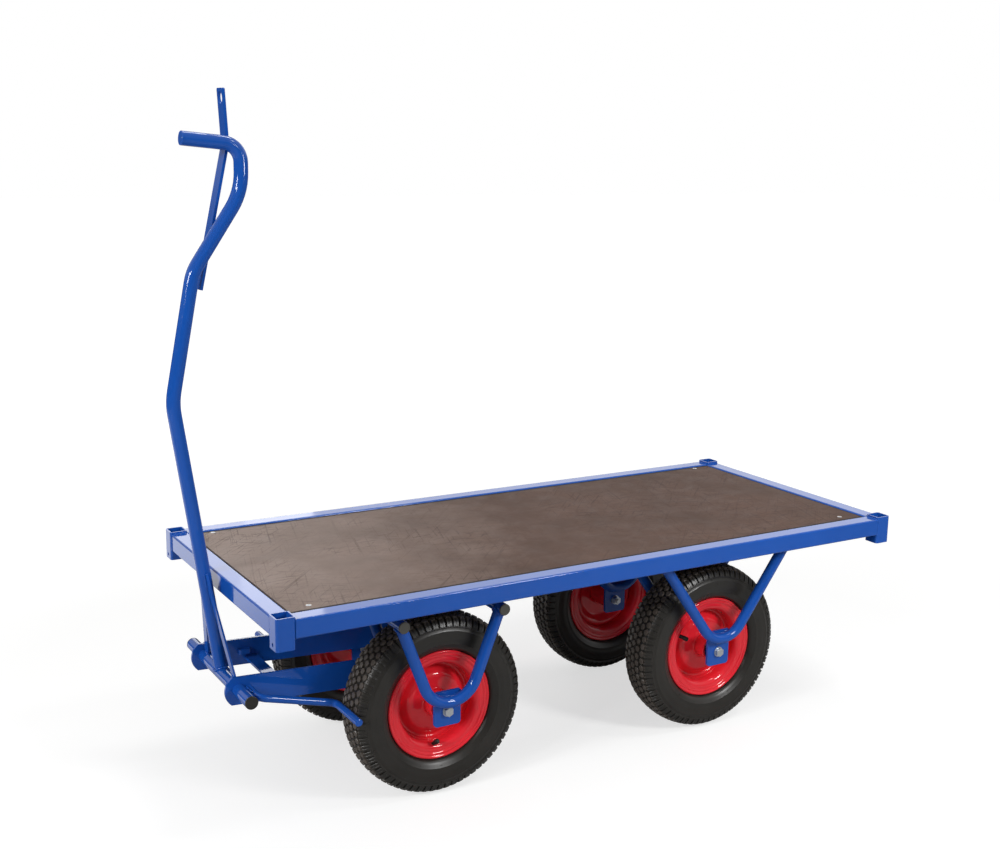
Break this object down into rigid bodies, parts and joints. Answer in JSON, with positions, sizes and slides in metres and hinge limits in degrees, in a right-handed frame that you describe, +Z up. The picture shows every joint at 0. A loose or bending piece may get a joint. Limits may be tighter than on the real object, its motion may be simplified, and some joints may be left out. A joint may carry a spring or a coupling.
{
  "type": "hand cart",
  "caption": "Platform hand cart with a plywood deck, pneumatic wheels, a steered front bogie and an upright drawbar that brakes the front tyres.",
  "frame": {"origin": "on the floor, under the middle of the cart's overall box", "axes": "+X towards the drawbar, +Y to the cart's left, +Z up"},
  "size_m": [1.6904, 0.7, 1.4772],
  "materials": {
    "blue_painted_steel": "gloss",
    "red_painted_steel": "gloss",
    "film_faced_plywood": "satin",
    "zinc_plated_steel": "satin",
    "bearing_steel": "satin",
    "tyre_rubber": "matte",
    "tube_rubber": "matte",
    "grey_plastic": "matte"
  },
  "bodies": {
    "platform": {"side_rails": "blue_painted_steel", "end_rails": "blue_painted_steel", "deck": "film_faced_plywood", "deck_screws": "zinc_plated_steel", "corner_gussets": "blue_painted_steel", "deck_crossbars": "blue_painted_steel", "upper_turntable": "blue_painted_steel", "kingpin": "zinc_plated_steel", "kingpin_nut": "zinc_plated_steel", "rear_axle_plates": "blue_painted_steel", "rear_axle_bolts": "zinc_plated_steel", "rear_axle_nuts": "zinc_plated_steel", "rear_axle_washers": "zinc_plated_steel", "rear_axle_sleeves": "zinc_plated_steel", "corner_post_front_left": "blue_painted_steel", "corner_post_front_right": "blue_painted_steel", "corner_post_rear_left": "blue_painted_steel", "corner_post_rear_right": "blue_painted_steel", "rear_fork_outer_left": "blue_painted_steel", "rear_fork_outer_right": "blue_painted_steel", "rear_fork_inner_left": "blue_painted_steel", "rear_fork_inner_right": "blue_painted_steel"},
    "bogie": {"lower_turntable": "blue_painted_steel", "bogie_cross_tubes": "blue_painted_steel", "cross_tube_plugs": "grey_plastic", "front_axle_plates": "blue_painted_steel", "front_axle_bolts": "zinc_plated_steel", "front_axle_nuts": "zinc_plated_steel", "front_axle_washers": "zinc_plated_steel", "front_axle_sleeves": "zinc_plated_steel", "carrier_plate_left": "blue_painted_steel", "carrier_plate_right": "blue_painted_steel", "carrier_tie_bar": "blue_painted_steel", "carrier_lug": "blue_painted_steel", "front_fork_outer_left": "blue_painted_steel", "front_fork_outer_right": "blue_painted_steel", "front_fork_inner_left": "blue_painted_steel", "front_fork_inner_right": "blue_painted_steel"},
    "drawbar": {"drawbar_tube": "blue_painted_steel", "pivot_tube": "blue_painted_steel", "pivot_plugs": "grey_plastic", "braces": "blue_painted_steel", "tow_bar": "blue_painted_steel", "brake_rods": "blue_painted_steel"},
    "front_left_wheel": {"tyre_front_left": "tyre_rubber", "rim_front_left": "red_painted_steel", "hub_bearings_front_left": "bearing_steel", "inner_tube_front_left": "tube_rubber"},
    "front_right_wheel": {"tyre_front_right": "tyre_rubber", "rim_front_right": "red_painted_steel", "hub_bearings_front_right": "bearing_steel", "inner_tube_front_right": "tube_rubber"},
    "rear_left_wheel": {"tyre_rear_left": "tyre_rubber", "rim_rear_left": "red_painted_steel", "hub_bearings_rear_left": "bearing_steel", "inner_tube_rear_left": "tube_rubber"},
    "rear_right_wheel": {"tyre_rear_right": "tyre_rubber", "rim_rear_right": "red_painted_steel", "hub_bearings_rear_right": "bearing_steel", "inner_tube_rear_right": "tube_rubber"}
  },
  "joints": [
    {"name": "steer", "type": "hinge", "parent": "platform", "child": "bogie", "pos_m": [0.3488, 0, 0.431], "axis": [0, 0, 1], "range_deg": [-8, 8]},
    {"name": "drawbar_tilt", "type": "hinge", "parent": "bogie", "child": "drawbar", "pos_m": [0.7478, 0, 0.2655], "axis": [0, 1, 0], "range_deg": [0, 72]},
    {"name": "front_left_roll", "type": "hinge", "parent": "bogie", "child": "front_left_wheel", "pos_m": [0.3488, 0.209, 0.201], "axis": [0, 1, 0], "continuous": true},
    {"name": "front_right_roll", "type": "hinge", "parent": "bogie", "child": "front_right_wheel", "pos_m": [0.3488, -0.209, 0.201], "axis": [0, 1, 0], "continuous": true},
    {"name": "rear_left_roll", "type": "hinge", "parent": "platform", "child": "rear_left_wheel", "pos_m": [-0.3807, 0.209, 0.201], "axis": [0, 1, 0], "continuous": true},
    {"name": "rear_right_roll", "type": "hinge", "parent": "platform", "child": "rear_right_wheel", "pos_m": [-0.3807, -0.209, 0.201], "axis": [0, 1, 0], "continuous": true}
  ]
}
